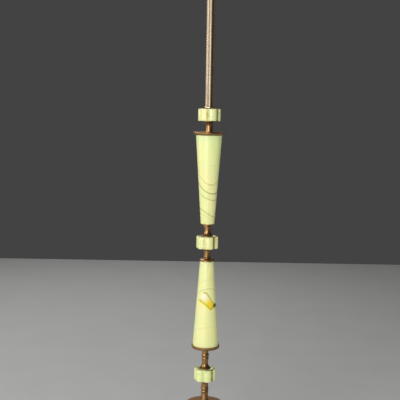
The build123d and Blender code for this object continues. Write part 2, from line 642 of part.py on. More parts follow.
stack = [
    Piece("base_slab", slab(), SLAB_HEIGHT, SLAB_RADIUS - SLAB_ROUND, SLAB_RADIUS - SLAB_ROUND, True),
    Piece("base_bell", bell(), BELL_HEIGHT, BELL_RADIUS, BASE_PLATE_SEAT, False),
    Piece("base_drum", drum(), DRUM_HEIGHT, DRUM_RADIUS, DRUM_RADIUS, True),
    plate_piece("base_plate", BASE_PLATE_RADIUS, BASE_PLATE_THICKNESS, BASE_PLATE_SEAT),
    standing_spool("base_spool", BASE_SPOOL),
    rosette_piece("lower_rosette", LOWER_ROSETTE_TURN),
    hanging_spool("lower_spool", LOWER_SPOOL),
    # The dish counts up to its floor: the cone stands inside its rim.
    Piece("cone_dish", dish(), DISH_FLOOR, DISH_RADIUS, DISH_FACE, False),
    cone_piece("lower_cone", LOWER_CONE_BOTTOM_RADIUS, LOWER_CONE_TOP_RADIUS, LOWER_CONE_HEIGHT),
    Piece("collet_cap", collet_cap(), COLLET_HEIGHT, COLLET_RADIUS, COLLET_SPOOL.end, False),
    standing_spool("collet_spool", COLLET_SPOOL),
    rosette_piece("middle_rosette", MIDDLE_ROSETTE_TURN),
    hanging_spool("middle_spool", MIDDLE_SPOOL),
    Piece("thin_cap", thin_cap(), THIN_CAP_HEIGHT, THIN_CAP_RADIUS, THIN_CAP_RADIUS, False),
    cone_piece("upper_cone", UPPER_CONE_BOTTOM_RADIUS, UPPER_CONE_TOP_RADIUS, UPPER_CONE_HEIGHT),
    plate_piece("top_plate", TOP_PLATE_RADIUS, TOP_PLATE_THICKNESS, TOP_PLATE_SEAT),
    standing_spool("upper_spool", UPPER_SPOOL),
    rosette_piece("upper_rosette", UPPER_ROSETTE_TURN),
    Piece("tube_ferrule", ferrule(BORE_RADIUS), FERRULE_HEIGHT, FERRULE_RADIUS, TUBE_FACE, False),
    Piece("reeded_tube", reeded_tube(), TUBE_LENGTH, TUBE_FACE, TUBE_FACE, False),
    Piece("top_ferrule", ferrule(ROD_RADIUS), FERRULE_HEIGHT, TUBE_FACE, FERRULE_RADIUS, False),
]

# The foot's slab is onyx on brass, so the shell's flat top counts as the first face.
parts = {}
bottoms = {}
washers = []
height = SHELL_TOP
below_face = SHELL_TOP_RADIUS
below_onyx = False
for piece in stack:
    if piece.onyx or below_onyx:
        face = min(below_face, piece.bottom_face) - WASHER_INSET
        washers.append(Pos(0, 0, height) * ring(face, BORE_RADIUS, WASHER_THICKNESS))
        height += WASHER_THICKNESS
    bottoms[piece.name] = height
    parts[piece.name] = Pos(0, 0, height) * piece.solid
    height += piece.height
    below_face = piece.top_face
    below_onyx = piece.onyx
parts["fibre_washers"] = washers

# ---------------------------------------------------------------- foot, rod and plugs
ROD_WASHER_BOTTOM = WEIGHT_BOTTOM - ROD_WASHER_THICKNESS
NUT_BOTTOM = ROD_WASHER_BOTTOM - NUT_HEIGHT
ROD_BOTTOM = NUT_BOTTOM - ROD_TAIL
TUBE_BOTTOM = bottoms["reeded_tube"]
TUBE_TOP = TUBE_BOTTOM + TUBE_LENGTH
plug = ring(TUBE_BORE_RADIUS, ROD_RADIUS, PLUG_LENGTH)

parts["felt_pads"] = at_each_foot(disc(PAD_RADIUS, PAD_THICKNESS))
parts["bun_feet"] = at_each_foot(Pos(0, 0, PAD_THICKNESS) * bun_foot())
parts["foot_screws"] = at_each_foot(Pos(0, 0, PAD_THICKNESS) * foot_screw())
parts["base_weight"] = Pos(0, 0, WEIGHT_BOTTOM) * weight()
parts["base_shell"] = Pos(0, 0, SHELL_TOP) * base_shell()
parts["flex_grommet"] = Pos(0, 0, SHELL_TOP) * grommet()
parts["rod_washer"] = Pos(0, 0, ROD_WASHER_BOTTOM) * ring(
    ROD_WASHER_RADIUS, BORE_RADIUS, ROD_WASHER_THICKNESS)
parts["rod_nut"] = Pos(0, 0, NUT_BOTTOM) * hex_nut()
parts["threaded_rod"] = Pos(0, 0, ROD_BOTTOM) * ring(
    ROD_RADIUS, ROD_BORE_RADIUS, TUBE_BOTTOM + PLUG_LENGTH - ROD_BOTTOM)
parts["lower_tube_plug"] = Pos(0, 0, TUBE_BOTTOM) * plug
parts["upper_tube_plug"] = Pos(0, 0, TUBE_TOP - PLUG_LENGTH) * plug

# ---------------------------------------------------------------- lamp holder in place
CUP_BOTTOM = TUBE_TOP + FERRULE_HEIGHT
SLEEVE_BOTTOM = CUP_BOTTOM + CUP_HEIGHT
BLOCK_TOP = SLEEVE_BOTTOM + BLOCK_HEIGHT
NIPPLE_BOTTOM = TUBE_TOP - PLUG_LENGTH + NIPPLE_GAP

parts["holder_nipple"] = Pos(0, 0, NIPPLE_BOTTOM) * ring(ROD_RADIUS, ROD_BORE_RADIUS, NIPPLE_LENGTH)
parts["holder_cup"] = Pos(0, 0, CUP_BOTTOM) * holder_cup()
parts["holder_sleeve"] = Pos(0, 0, SLEEVE_BOTTOM) * holder_sleeve()
parts["contact_block"] = Pos(0, 0, BLOCK_TOP) * contact_block()
parts["thread_shell"] = Pos(0, 0, BLOCK_TOP) * thread_shell()
parts["centre_contact"] = Pos(0, 0, BLOCK_TOP) * centre_contact()
parts["terminal_screws"] = [Pos(0, 0, BLOCK_TOP) * screw for screw in at_terminals(terminal_screw())]
parts["shell_liner"] = Pos(0, 0, BLOCK_TOP) * liner()
parts["shade_ring"] = Pos(0, 0, SLEEVE_BOTTOM + SEAT_HEIGHT) * shade_ring()
for name, solid in [("bush", switch_bush()), ("spindle", switch_spindle()), ("knob", switch_knob())]:
    parts[f"switch_{name}"] = Pos(0, 0, CUP_BOTTOM) * sideways(solid)

# ---------------------------------------------------------------- one STEP file per node
os.makedirs("parts", exist_ok=True)
for name, shape in parts.items():
    pieces = shape if isinstance(shape, list) else [shape]
    solids = [solid for piece in pieces for solid in piece.solids()]
    export_step(Compound(children=solids), f"parts/{name}.step")

for name, bottom in bottoms.items():
    print(f"{name} {bottom:.1f}")
print(f"holder_cup {CUP_BOTTOM:.1f}")
print(f"holder_sleeve {SLEEVE_BOTTOM:.1f} to {SLEEVE_BOTTOM + SLEEVE_HEIGHT:.1f}")
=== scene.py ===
import json
from math import cos, pi, radians, sin, sqrt, tau

import bpy
from mathutils import Matrix, Vector


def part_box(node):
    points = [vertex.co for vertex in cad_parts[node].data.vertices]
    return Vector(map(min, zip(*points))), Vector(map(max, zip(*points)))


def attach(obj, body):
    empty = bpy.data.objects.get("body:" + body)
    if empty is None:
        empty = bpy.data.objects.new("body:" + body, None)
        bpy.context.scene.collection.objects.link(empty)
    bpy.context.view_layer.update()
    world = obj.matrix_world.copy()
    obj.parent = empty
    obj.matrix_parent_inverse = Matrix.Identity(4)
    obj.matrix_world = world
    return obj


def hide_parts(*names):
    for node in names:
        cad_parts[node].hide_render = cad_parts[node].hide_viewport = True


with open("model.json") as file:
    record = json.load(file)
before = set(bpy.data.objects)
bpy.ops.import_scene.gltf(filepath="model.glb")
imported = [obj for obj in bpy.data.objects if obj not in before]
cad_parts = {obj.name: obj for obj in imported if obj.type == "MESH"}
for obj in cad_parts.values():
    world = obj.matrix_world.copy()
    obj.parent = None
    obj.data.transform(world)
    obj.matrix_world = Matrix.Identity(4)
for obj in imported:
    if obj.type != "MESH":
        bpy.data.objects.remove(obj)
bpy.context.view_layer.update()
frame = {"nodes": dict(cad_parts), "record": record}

# Looks of an onyx and brass standing lamp. Metres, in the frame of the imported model.
nodes = frame["nodes"]
slot_of = {part["node"]: part["material_slot"] for part in frame["record"]["subparts"]}


# ---------------------------------------------------------------- sizes that meshes and dirt share
ROSETTE_RADIUS = 0.0257
ROSETTE_LOBES = 6
ROSETTE_BORE = 0.0053
LOBE_RADIUS = 0.0112
GROOVE_RADIUS = 0.0211
FLUTE_RADIUS = 0.0088

# ---------------------------------------------------------------- colours
CREAM = (0.89, 0.86, 0.40)
PALE_GREEN = (0.79, 0.89, 0.39)
LAYER_GREEN = (0.70, 0.86, 0.42)
YELLOW = (0.93, 0.86, 0.24)
FOOT_YELLOW = (0.93, 0.83, 0.33)
HALO_YELLOW = (0.95, 0.90, 0.16)
STREAK_YELLOW = (0.88, 0.78, 0.26)
WARM_SPOT = (0.95, 0.82, 0.42)
MILK = (0.95, 0.90, 0.60)
AMBER = (0.98, 0.71, 0.03)
GOLD = (0.80, 0.68, 0.07)
OLIVE = (0.36, 0.31, 0.045)
YELLOW_OLIVE = (0.46, 0.39, 0.03)
BROWN_OLIVE = (0.10, 0.07, 0.01)
GROOVE_DIRT_AND_SHADE = (0.13, 0.10, 0.015)
SMEAR_BROWN = (0.60, 0.42, 0.10)
BRASS_CORNER_SHADE = (0.045, 0.022, 0.010)
DRAWN_PALE = (0.60, 0.495, 0.36)
DRAWN_DULL = (0.45, 0.345, 0.225)
FLUTE_GRIME_AND_SHADE = (0.035, 0.016, 0.004)
ZINC_DARK = (0.42, 0.42, 0.40)
ZINC_LIGHT = (0.62, 0.62, 0.60)
RUST = (0.18, 0.09, 0.04)
FELT_DARK = (0.012, 0.045, 0.022)
FELT_LIGHT = (0.05, 0.13, 0.07)


# ---------------------------------------------------------------- materials: the tools
CREVICE_SAMPLES = 8
CREVICE_EDGE = (0.75, 0.25)
SPOT_CORE = 0.2
# Sockets of a colour mix: the factor, the two colours and the result.
MIX_FACTOR, MIX_FIRST, MIX_SECOND = 0, 6, 7
MIX_RESULT = 2


class Paint:
    """One material: its Principled shader, and short calls for the nodes that feed it."""

    def __init__(self, name, seed, **settings):
        self.material = bpy.data.materials.new(name)
        self.material.use_nodes = True
        self.tree = self.material.node_tree
        self.shader = self.tree.nodes["Principled BSDF"]
        self.seed = seed
        for socket, value in settings.items():
            self.shader.inputs[socket.replace("_", " ")].default_value = value
        self.place = self.node("ShaderNodeTexCoord").outputs["Object"]
        self.x, self.y, self.z = self.node("ShaderNodeSeparateXYZ", self.place).outputs

    def node(self, kind, *values, **settings):
        """A node with its first inputs linked or set, in order. None leaves an input alone."""
        made = self.tree.nodes.new(kind)
        for setting, value in settings.items():
            setattr(made, setting, value)
        for socket, value in zip(made.inputs, values):
            if isinstance(value, bpy.types.NodeSocket):
                self.tree.links.new(value, socket)
            elif value is not None:
                socket.default_value = value
        return made

    def math(self, operation, *values):
        return self.node("ShaderNodeMath", *values, operation=operation).outputs[0]

    def vector(self, operation, *values, output=0):
        return self.node("ShaderNodeVectorMath", *values, operation=operation).outputs[output]

    def total(self, *terms):
        """Sum of pairs of a value and its share."""
        made = 0.0
        for value, share in terms:
            made = self.math("MULTIPLY_ADD", value, share, made)
        return made

    def radius(self):
        """Distance from the lamp's axis."""
        square = self.math("MULTIPLY", self.y, self.y)
        return self.math("SQRT", self.math("MULTIPLY_ADD", self.x, self.x, square))

    def towards(self, facing_x, facing_y):
        """Distance from the lamp's axis the way that a level direction faces."""
        return self.total((self.x, facing_x), (self.y, facing_y))

    def scaled(self, value, low, high):
        """A 0 to 1 value stretched between low and high."""
        return self.node("ShaderNodeMapRange", value, 0.0, 1.0, low, high).outputs[0]

    def rise(self, value, low, high):
        """0 below low and 1 above high, with a smooth step between. Low may be the larger."""
        made = self.node("ShaderNodeMapRange", value, low, high,
                         interpolation_type="SMOOTHSTEP")
        return made.outputs[0]

    def near(self, value, reach):
        """1 where value is 0, and 0 beyond reach on both sides."""
        return self.rise(self.math("ABSOLUTE", value), reach, 0.0)

    def spot(self, centre, size):
        """1 in the core round centre, falling to 0 over size, one reach for each axis."""
        away = self.vector("SUBTRACT", self.place, centre)
        shares = self.vector("DIVIDE", away, size)
        return self.rise(self.vector("LENGTH", shares, output="Value"), 1.0, SPOT_CORE)

    def noise(self, scale, detail=3.0, roughness=0.5, place=None):
        """Cloudy noise from 0 to 1. Scale is its features in each metre."""
        made = self.node("ShaderNodeTexNoise", place or self.place, self.seed, scale, detail,
                         roughness, noise_dimensions="4D")
        return made.outputs["Fac"]

    def streaks(self, along_x, along_y, along_z, detail, roughness):
        """Noise that runs one way, with its features in each metre given by axis."""
        place = self.vector("MULTIPLY", self.place, (along_x, along_y, along_z))
        return self.noise(1.0, detail, roughness, place)

    def crevice_shade(self, reach):
        """1 in corners and gaps narrower than about reach, where shade falls, and 0 in the open:
        the mask for painted shade.
        """
        made = self.node("ShaderNodeAmbientOcclusion", samples=CREVICE_SAMPLES)
        made.inputs["Distance"].default_value = reach
        return self.rise(made.outputs["AO"], *CREVICE_EDGE)

    def mix(self, factor, first, second):
        """Colour from first to second as factor goes from 0 to 1."""
        made = self.node("ShaderNodeMix", data_type="RGBA", clamp_factor=True)
        for index, value in ((MIX_FACTOR, factor), (MIX_FIRST, first), (MIX_SECOND, second)):
            if isinstance(value, bpy.types.NodeSocket):
                self.tree.links.new(value, made.inputs[index])
            else:
                made.inputs[index].default_value = value if index == MIX_FACTOR else (*value, 1.0)
        return made.outputs[MIX_RESULT]

    def stain(self, colour, share, strength, tint):
        """Colour with a tint laid over it. Where share is 1 the tint has that strength."""
        return self.mix(self.scaled(share, 0.0, strength), colour, tint)

    def feed(self, socket, value):
        self.tree.links.new(value, self.shader.inputs[socket])

    def bump(self, height, depth):
        """Relief of that depth in metres where height goes from 0 to 1."""
        made = self.node("ShaderNodeBump")
        made.inputs["Strength"].default_value = 1.0
        made.inputs["Distance"].default_value = depth
        self.tree.links.new(height, made.inputs["Height"])
        self.feed("Normal", made.outputs[0])


# ---------------------------------------------------------------- onyx
ONYX_SHADE_REACH = 0.005
ONYX_SHADE_STRENGTH = 0.75
VEIN_WAVER = 0.006


def onyx_body(name, seed):
    """Polished translucent stone with soft clouds: its paint, its colour so far, its wobble."""
    paint = Paint(name, seed, Roughness=0.2, Subsurface_Weight=0.45, Subsurface_Scale=0.022,
                  Subsurface_Radius=(1.0, 0.9, 0.5), IOR=1.55, Coat_Weight=0.12,
                  Coat_Roughness=0.10)
    clouds = paint.rise(paint.noise(17.0, detail=2.0), 0.35, 0.65)
    drifts = paint.rise(paint.streaks(60.0, 60.0, 14.0, detail=4.0, roughness=0.6), 0.40, 0.75)
    grain = paint.noise(420.0, detail=3.0, roughness=0.6)
    colour = paint.mix(clouds, CREAM, PALE_GREEN)
    colour = paint.stain(colour, drifts, 0.35, YELLOW)
    colour = paint.stain(colour, grain, 0.16, MILK)
    wobble = paint.math("SUBTRACT", paint.noise(38.0, detail=3.0), 0.5)
    paint.feed("Roughness", paint.scaled(paint.noise(90.0, detail=4.0), 0.22, 0.38))
    return paint, colour, wobble


def sheet_of(paint, wobble, height, lean_x, lean_y, waver=VEIN_WAVER):
    """Height above a tilted sheet through the stone that meets the axis at that height."""
    tilt = paint.total((paint.z, 1.0), (paint.x, -lean_x), (paint.y, -lean_y), (wobble, waver))
    return paint.math("SUBTRACT", tilt, height)


def vein(paint, colour, wobble, sheet, width, strength):
    """A thin dark sheet in the stone. Its strength comes and goes along it."""
    broken = paint.rise(paint.noise(55.0, detail=2.0), 0.25, 0.6)
    fade = paint.scaled(broken, 0.45 * strength, strength)
    line = paint.near(sheet_of(paint, wobble, *sheet), width)
    return paint.mix(paint.math("MULTIPLY", line, fade), colour, OLIVE)


def onyx(name, seed, veins, marks=None):
    """Onyx with the given veins, marks that only this stone has, and painted shade in its corners.
    """
    paint, colour, wobble = onyx_body(name, seed)
    for sheet, width, strength in veins:
        colour = vein(paint, colour, wobble, sheet, width, strength)
    if marks:
        colour = marks(paint, colour, wobble)
    # painted shade: olive darkening in corners and gaps, where shade falls
    colour = paint.stain(colour, paint.crevice_shade(ONYX_SHADE_REACH), ONYX_SHADE_STRENGTH, OLIVE)
    paint.feed("Base Color", colour)
    return paint.material


# A vein is its sheet (height on the axis, rise along +X and along +Y), half width and strength.
UPPER_CONE_VEINS = [
    ((0.7620, -0.428, 1.197), 0.0026, 0.60),
    ((0.7299, -0.454, 0.611), 0.0028, 0.95),
    ((0.7108, -0.437, 0.455), 0.0032, 0.55),
    ((0.6671, -0.613, -0.040), 0.0028, 0.60),
    ((0.6583, -0.600, -0.100), 0.0024, 0.30),
    ((0.8020, -0.300, 0.900), 0.0024, 0.10),
]
LOWER_CONE_VEINS = [
    ((0.4795, 0.211, -0.664), 0.0026, 0.35),
    ((0.5040, 0.300, -0.500), 0.0030, 0.12),
    ((0.3960, 0.200, -0.300), 0.0030, 0.10),
]
DRUM_VEINS = [
    ((0.1600, -0.350, 0.500), 0.0026, 0.55),
    ((0.1480, -0.330, 0.450), 0.0020, 0.35),
    ((0.1150, -0.500, 0.250), 0.0030, 0.45),
    ((0.0980, -0.450, 0.200), 0.0018, 0.25),
]
SLAB_VEINS = [
    ((0.0520, 0.900, 0.600), 0.0060, 0.50),
    ((0.0350, 1.100, 0.500), 0.0040, 0.35),
    ((0.0900, 0.800, 0.700), 0.0080, 0.25),
    ((-0.0100, 1.000, 0.800), 0.0070, 0.40),
]


def rosette_veins(middle):
    """Two faint veins that cross a rosette centred on that height."""
    return [((middle - 0.004, 0.25, -0.60), 0.0016, 0.22),
            ((middle + 0.006, -0.40, 0.30), 0.0014, 0.18)]


# ---------------------------------------------------------------- marks in the onyx
# The green layer is a sheet, with its waver. A spot is its centre and its reach by axis.
GREEN_LAYER = (0.8452, 0.1, 0.28, 0.02)
GREEN_LAYER_REACH = 0.013
UPPER_CONE_SPOT = ((-0.005, -0.028, 0.831), (0.006, 0.01, 0.005))
YELLOW_FOOT_EDGE = (0.668, 0.645)
YELLOW_FOOT_WAVER = 0.02

# Seen from the front, three lines bound the amber fold: an arch over it that falls on both
# sides of its crown, an arm that falls to the right, and a sill that climbs to the right.
# An edge is where a mark starts and where it is full, measured from its line or along x or y.
FOLD_WAVER = 0.004
FRONT_EDGE = (-0.001, -0.009)
CROWN_X = -0.004
CROWN_ROUNDNESS = 0.01
ARCH_HEIGHT = 0.5068
ARCH_SLOPE = -2.10
ARCH_EDGE = (-0.0005, 0.0015)
ARCH_FOOT_EDGE = (-0.011, -0.002)
ARM_X = -0.014
ARM_HEIGHT = 0.4640
ARM_SLOPE = -0.49
ARM_BEND = -13.5
ARM_EDGE = (-0.001, 0.002)
ARM_START_EDGE = (-0.0190, -0.0145)
SILL_HEIGHT = 0.4378
SILL_SLOPE = 0.76
SILL_EDGE = (-0.003, 0.001)
CORE_HEIGHT = 0.4695
CORE_ACROSS = 0.50
CORE_DOWN = 0.87
MILK_EDGE = (0.005, -0.010)
AMBER_EDGE = (-0.003, 0.013)
DARK_KNOT = ((0.0205, -0.0110, 0.4538), (0.0115, 0.013, 0.0075))
PALE_STREAK = ((0.0100, -0.0160, 0.5200), (0.006, 0.012, 0.03))

# Dirt lies in a band round the bottoms of the grooves. One groove, which faces this way in x
# and y, is painted far darker than the others: painted shade.
GROOVE_BAND_WAVER = 0.002
GROOVE_BAND_OUTER_EDGE = (GROOVE_RADIUS + 0.0034, GROOVE_RADIUS + 0.0006)
GROOVE_BAND_INNER_EDGE = (GROOVE_RADIUS - 0.004, GROOVE_RADIUS - 0.002)
SHADED_GROOVE = (0.766, -0.643)
SHADED_GROOVE_EDGE = (0.012, 0.019)
GROOVE_DIRT_AND_SHADE_SHARES = (0.15, 0.9)
ROSETTE_SMEAR = ((-0.0045, -0.0220, 0.8925), (0.006, 0.008, 0.012))


def upper_cone_marks(paint, colour, wobble):
    """A greener layer near the top, a warm spot in it and a yellow foot."""
    layer = paint.near(sheet_of(paint, wobble, *GREEN_LAYER), GREEN_LAYER_REACH)
    colour = paint.stain(colour, layer, 0.5, LAYER_GREEN)
    colour = paint.stain(colour, paint.spot(*UPPER_CONE_SPOT), 0.7, WARM_SPOT)
    height = paint.math("MULTIPLY_ADD", wobble, YELLOW_FOOT_WAVER, paint.z)
    foot = paint.rise(height, *YELLOW_FOOT_EDGE)
    return paint.stain(colour, foot, 0.6, FOOT_YELLOW)


def lower_cone_marks(paint, colour, wobble):
    """The fold of amber in the front of the lower cone, under a thin olive arch."""
    z = paint.math("MULTIPLY_ADD", wobble, FOLD_WAVER, paint.z)
    front = paint.rise(paint.y, *FRONT_EDGE)
    past_crown = paint.math("ADD", paint.x, -CROWN_X)
    run = paint.math("MULTIPLY_ADD", past_crown, past_crown, CROWN_ROUNDNESS**2)
    run = paint.math("SQRT", run)
    arch = paint.total((run, ARCH_SLOPE), (ARCH_HEIGHT, 1.0))
    arm_run = paint.math("ADD", paint.x, -ARM_X)
    arm = paint.total((paint.math("MULTIPLY", arm_run, arm_run), ARM_BEND),
                      (arm_run, ARM_SLOPE), (ARM_HEIGHT, 1.0))
    sill = paint.total((paint.x, SILL_SLOPE), (SILL_HEIGHT, 1.0))
    under_arch = paint.math("SUBTRACT", arch, z)
    over_arm = paint.math("SUBTRACT", z, arm)
    over_sill = paint.math("SUBTRACT", z, sill)

    above_sill = paint.math("MULTIPLY", paint.rise(over_sill, *SILL_EDGE), front)
    above_arm = paint.math("MULTIPLY", paint.rise(over_arm, *ARM_EDGE), front)
    past_arch_foot = paint.rise(paint.x, *ARCH_FOOT_EDGE)
    in_arch = paint.math("MULTIPLY", past_arch_foot, above_sill)
    inside = paint.math("MULTIPLY", paint.rise(under_arch, *ARCH_EDGE), above_arm)
    inside = paint.math("MULTIPLY", inside, above_sill)
    in_arm = paint.math("MULTIPLY", paint.rise(paint.x, *ARM_START_EDGE), above_sill)

    depth = paint.total((paint.x, CORE_ACROSS), (z, -CORE_DOWN), (CORE_HEIGHT * CORE_DOWN, 1.0))
    milk = paint.math("MULTIPLY", inside, paint.rise(depth, *MILK_EDGE))
    amber = paint.math("MULTIPLY", inside, paint.rise(depth, *AMBER_EDGE))
    colour = paint.mix(milk, colour, MILK)
    colour = paint.mix(amber, colour, AMBER)
    # A band is the distance it follows, how far it is moved, its reach, limits, strength, tint.
    for distance, move, reach, limits, strength, tint in (
            (over_arm, 0.0015, 0.0075, in_arm, 0.75, HALO_YELLOW),
            (over_arm, -0.0030, 0.0060, in_arm, 0.90, GOLD),
            (over_arm, -0.0012, 0.0034, in_arm, 0.65, YELLOW_OLIVE),
            (under_arch, -0.0012, 0.0046, in_arch, 0.80, GOLD),
            (under_arch, 0.0, 0.0034, in_arch, 0.80, YELLOW_OLIVE),
            (over_sill, 0.0, 0.0036, above_arm, 0.85, YELLOW_OLIVE)):
        line = paint.near(paint.math("ADD", distance, move), reach)
        colour = paint.stain(colour, paint.math("MULTIPLY", line, limits), strength, tint)
    colour = paint.mix(paint.spot(*DARK_KNOT), colour, BROWN_OLIVE)
    return paint.stain(colour, paint.spot(*PALE_STREAK), 0.45, STREAK_YELLOW)


def groove_dirt_and_shade(paint, colour, wobble):
    """Dirt in the grooves of a rosette, and painted shade that darkens the groove at its right
    front.
    """
    radius = paint.radius()
    wavering = paint.math("MULTIPLY_ADD", wobble, GROOVE_BAND_WAVER, radius)
    groove = paint.rise(wavering, *GROOVE_BAND_OUTER_EDGE)
    groove = paint.math("MULTIPLY", groove, paint.rise(radius, *GROOVE_BAND_INNER_EDGE))
    # painted shade: the groove at the right front is painted far darker than the rest
    side = paint.rise(paint.towards(*SHADED_GROOVE), *SHADED_GROOVE_EDGE)
    strength = paint.math("MULTIPLY", groove, paint.scaled(side, *GROOVE_DIRT_AND_SHADE_SHARES))
    return paint.mix(strength, colour, GROOVE_DIRT_AND_SHADE)


def upper_rosette_marks(paint, colour, wobble):
    """Dirt and painted shade in the grooves, and a brown smear in the front."""
    colour = paint.stain(colour, paint.spot(*ROSETTE_SMEAR), 0.5, SMEAR_BROWN)
    return groove_dirt_and_shade(paint, colour, wobble)


# ---------------------------------------------------------------- metals
BRASS_SHADE_REACH = 0.0035
BRASS_RELIEF = 0.00008
STEEL_RELIEF = 0.00006
THREAD_RELIEF = 0.0010
TUBE_RELIEF = 0.0009
ROD_PITCH = 0.001

# Grime fills the flutes of the tube. One flute, which faces this way in x and y, is painted far
# darker than the others: painted shade.
FLUTE_BAND_EDGE = (FLUTE_RADIUS + 0.0020, FLUTE_RADIUS + 0.0006)
SHADED_FLUTE = (0.515, -0.857)
SHADED_FLUTE_EDGE = (0.0050, 0.0078)
FLUTE_GRIME_AND_SHADE_SHARES = (0.2, 0.95)


def brass(name, fresh, tarnished, seed, tarnish, dull=(0.20, 0.42)):
    """Old brass: tarnish in clouds and spots, fine turning lines, and painted shade in its
    corners.
    """
    paint = Paint(name, seed, Metallic=1.0)
    clouds = paint.noise(70.0, detail=5.0, roughness=0.62)
    spots = paint.rise(paint.noise(520.0, detail=3.0, roughness=0.6), 0.60, 0.72)
    share = paint.rise(paint.total((clouds, 0.85), (spots, 0.15)), 1.0 - tarnish, 1.35 - tarnish)
    colour = paint.mix(share, fresh, tarnished)
    # painted shade: near-black darkening in corners and gaps between parts
    colour = paint.stain(colour, paint.crevice_shade(BRASS_SHADE_REACH), 0.85, BRASS_CORNER_SHADE)
    lines = paint.streaks(40.0, 40.0, 2600.0, detail=2.0, roughness=0.5)
    paint.feed("Base Color", colour)
    paint.feed("Roughness", paint.scaled(paint.total((clouds, 0.7), (lines, 0.3)), *dull))
    paint.bump(paint.total((clouds, 0.6), (lines, 0.4)), BRASS_RELIEF)
    return paint.material


def drawn_brass(name, seed):
    """Pale drawn tube: streaks and slight hollows that run along it, grime in its flutes, and
    painted shade in one.
    """
    paint = Paint(name, seed, Metallic=1.0)
    streaks = paint.streaks(900.0, 900.0, 22.0, detail=4.0, roughness=0.6)
    hollows = paint.streaks(55.0, 55.0, 26.0, detail=1.0, roughness=0.4)
    flute = paint.rise(paint.radius(), *FLUTE_BAND_EDGE)
    # painted shade: the flute at the right front is painted far darker than the rest
    side = paint.rise(paint.towards(*SHADED_FLUTE), *SHADED_FLUTE_EDGE)
    flute = paint.math("MULTIPLY", flute, paint.scaled(side, *FLUTE_GRIME_AND_SHADE_SHARES))
    colour = paint.mix(paint.rise(streaks, 0.35, 0.75), DRAWN_PALE, DRAWN_DULL)
    paint.feed("Base Color", paint.mix(flute, colour, FLUTE_GRIME_AND_SHADE))
    paint.feed("Roughness", paint.scaled(streaks, 0.50, 0.60))
    paint.bump(paint.total((streaks, 0.04), (hollows, 0.96)), TUBE_RELIEF)
    return paint.material


def steel(name, thread_pitch=0.0):
    """Dull zinc plate. With a pitch, thread ridges of that pitch run round Z."""
    paint = Paint(name, seed=3.0, Metallic=1.0)
    clouds = paint.noise(140.0, detail=4.0, roughness=0.6)
    rust = paint.rise(paint.noise(60.0, detail=4.0, roughness=0.65), 0.60, 0.72)
    colour = paint.stain(paint.mix(clouds, ZINC_DARK, ZINC_LIGHT), rust, 0.7, RUST)
    paint.feed("Base Color", colour)
    paint.feed("Roughness", paint.scaled(clouds, 0.35, 0.6))
    if thread_pitch:
        turn = paint.math("DIVIDE", paint.math("ARCTAN2", paint.y, paint.x), tau)
        climb = paint.math("SUBTRACT", paint.math("DIVIDE", paint.z, thread_pitch), turn)
        paint.bump(paint.math("PINGPONG", climb, 0.5), THREAD_RELIEF)
    else:
        paint.bump(clouds, STEEL_RELIEF)
    return paint.material


# ---------------------------------------------------------------- other materials
FELT_RELIEF = 0.0006


def plain(name, dark, light, scale, rough, relief, **settings):
    """Mottled material between two colours, with roughness and relief from the same grain."""
    paint = Paint(name, seed=1.0, **settings)
    broad = paint.noise(scale, detail=4.0, roughness=0.6)
    fine = paint.noise(scale * 9.0, detail=3.0, roughness=0.6)
    grain = paint.total((broad, 0.6), (fine, 0.4))
    paint.feed("Base Color", paint.mix(paint.rise(grain, 0.3, 0.7), dark, light))
    paint.feed("Roughness", paint.scaled(grain, *rough))
    paint.bump(grain, relief)
    return paint.material


def felt(name):
    """Pressed felt: short fibres lying every way."""
    paint = Paint(name, seed=2.0, Sheen_Weight=0.6, Sheen_Roughness=0.4)
    fibres = paint.streaks(2600.0, 900.0, 2600.0, detail=5.0, roughness=0.7)
    tufts = paint.noise(700.0, detail=3.0, roughness=0.6)
    grain = paint.total((fibres, 0.6), (tufts, 0.4))
    paint.feed("Base Color", paint.mix(grain, FELT_DARK, FELT_LIGHT))
    paint.feed("Roughness", paint.scaled(grain, 0.85, 1.0))
    paint.bump(grain, FELT_RELIEF)
    return paint.material


# ---------------------------------------------------------------- pieces: the tools
SHARP_ANGLE = radians(40.0)


def circle(radius, z, count):
    angles = [tau * i / count for i in range(count)]
    return [(radius * cos(angle), radius * sin(angle), z) for angle in angles]


def loop_mesh(name, shapes, sharp=False):
    """A mesh of shapes: closed loops of points joined in order, and last to first in a ring."""
    points = []
    faces = []
    for loops, ring in shapes:
        first = len(points)
        count = len(loops[0])
        points += [point for loop in loops for point in loop]
        for i in range(len(loops) if ring else len(loops) - 1):
            below = first + i * count
            above = first + (i + 1) % len(loops) * count
            faces += [(below + j, below + (j + 1) % count, above + (j + 1) % count, above + j)
                      for j in range(count)]
    mesh = bpy.data.meshes.new(name)
    mesh.from_pydata(points, [], faces)
    mesh.validate()
    mesh.shade_smooth()
    if sharp:
        mesh.set_sharp_from_angle(angle=SHARP_ANGLE)
    return mesh


def piece(mesh, material, body, replaced):
    """An object of the lamp that stands for a CAD node and moves with a body."""
    made = bpy.data.objects.new(mesh.name, mesh)
    bpy.context.scene.collection.objects.link(made)
    mesh.materials.append(material)
    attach(made, body)
    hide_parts(replaced)


# ---------------------------------------------------------------- onyx rosettes
EDGE_ROUND = 0.0020
EDGE_STEPS = 6
LOBE_STEPS = 24


def lobed_loop(turn, inset, z):
    """The rosette's outline at a height, moved inwards by inset, starting in a groove."""
    centre = ROSETTE_RADIUS - LOBE_RADIUS
    half = pi / ROSETTE_LOBES
    reach = centre * cos(half) + sqrt(LOBE_RADIUS**2 - (centre * sin(half))**2)
    groove = Vector((reach * cos(half) - centre, reach * sin(half)))
    sweep = 2 * groove.angle(Vector((1.0, 0.0)))
    radius = LOBE_RADIUS - inset
    points = []
    for lobe in range(ROSETTE_LOBES):
        facing = turn + tau * lobe / ROSETTE_LOBES
        for step in range(LOBE_STEPS):
            angle = facing - sweep / 2 + sweep * (step + 0.5) / LOBE_STEPS
            points.append((centre * cos(facing) + radius * cos(angle),
                           centre * sin(facing) + radius * sin(angle), z))
    return points


